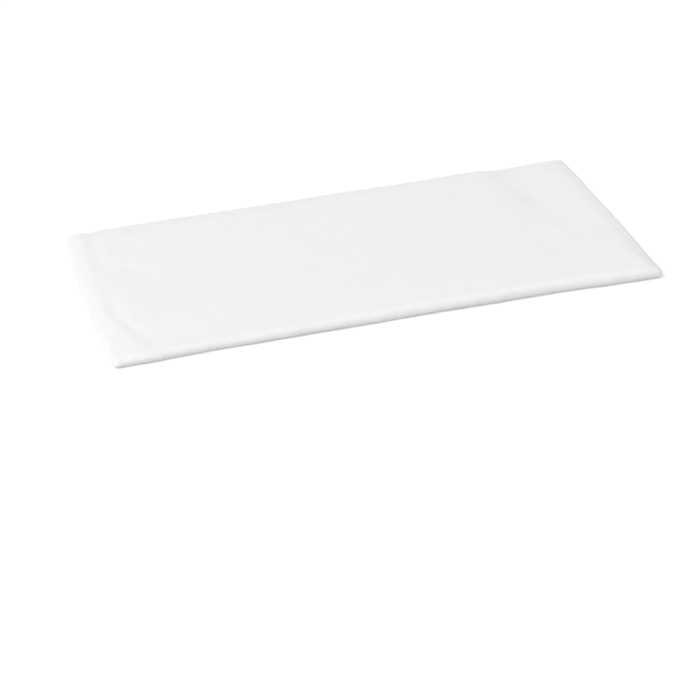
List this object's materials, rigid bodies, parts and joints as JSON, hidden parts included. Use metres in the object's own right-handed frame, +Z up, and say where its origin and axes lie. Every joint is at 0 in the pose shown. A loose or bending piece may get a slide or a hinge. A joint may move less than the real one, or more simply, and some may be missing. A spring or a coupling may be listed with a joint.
{
  "type": "paper napkin",
  "caption": "Square paper napkin folded three times into a flat oblong packet, with a rounded fold at the front and the left end.",
  "frame": {"origin": "middle of the packet's footprint, on the surface that it lies on", "axes": "+X along the packet from the folded left end to the cut right end, +Y from the folded front edge to the back, +Z up"},
  "size_m": [0.19, 0.095, 0.005],
  "materials": {
    "paper": "matte"
  },
  "bodies": {
    "root": {"folded_napkin": "paper"}
  },
  "joints": []
}
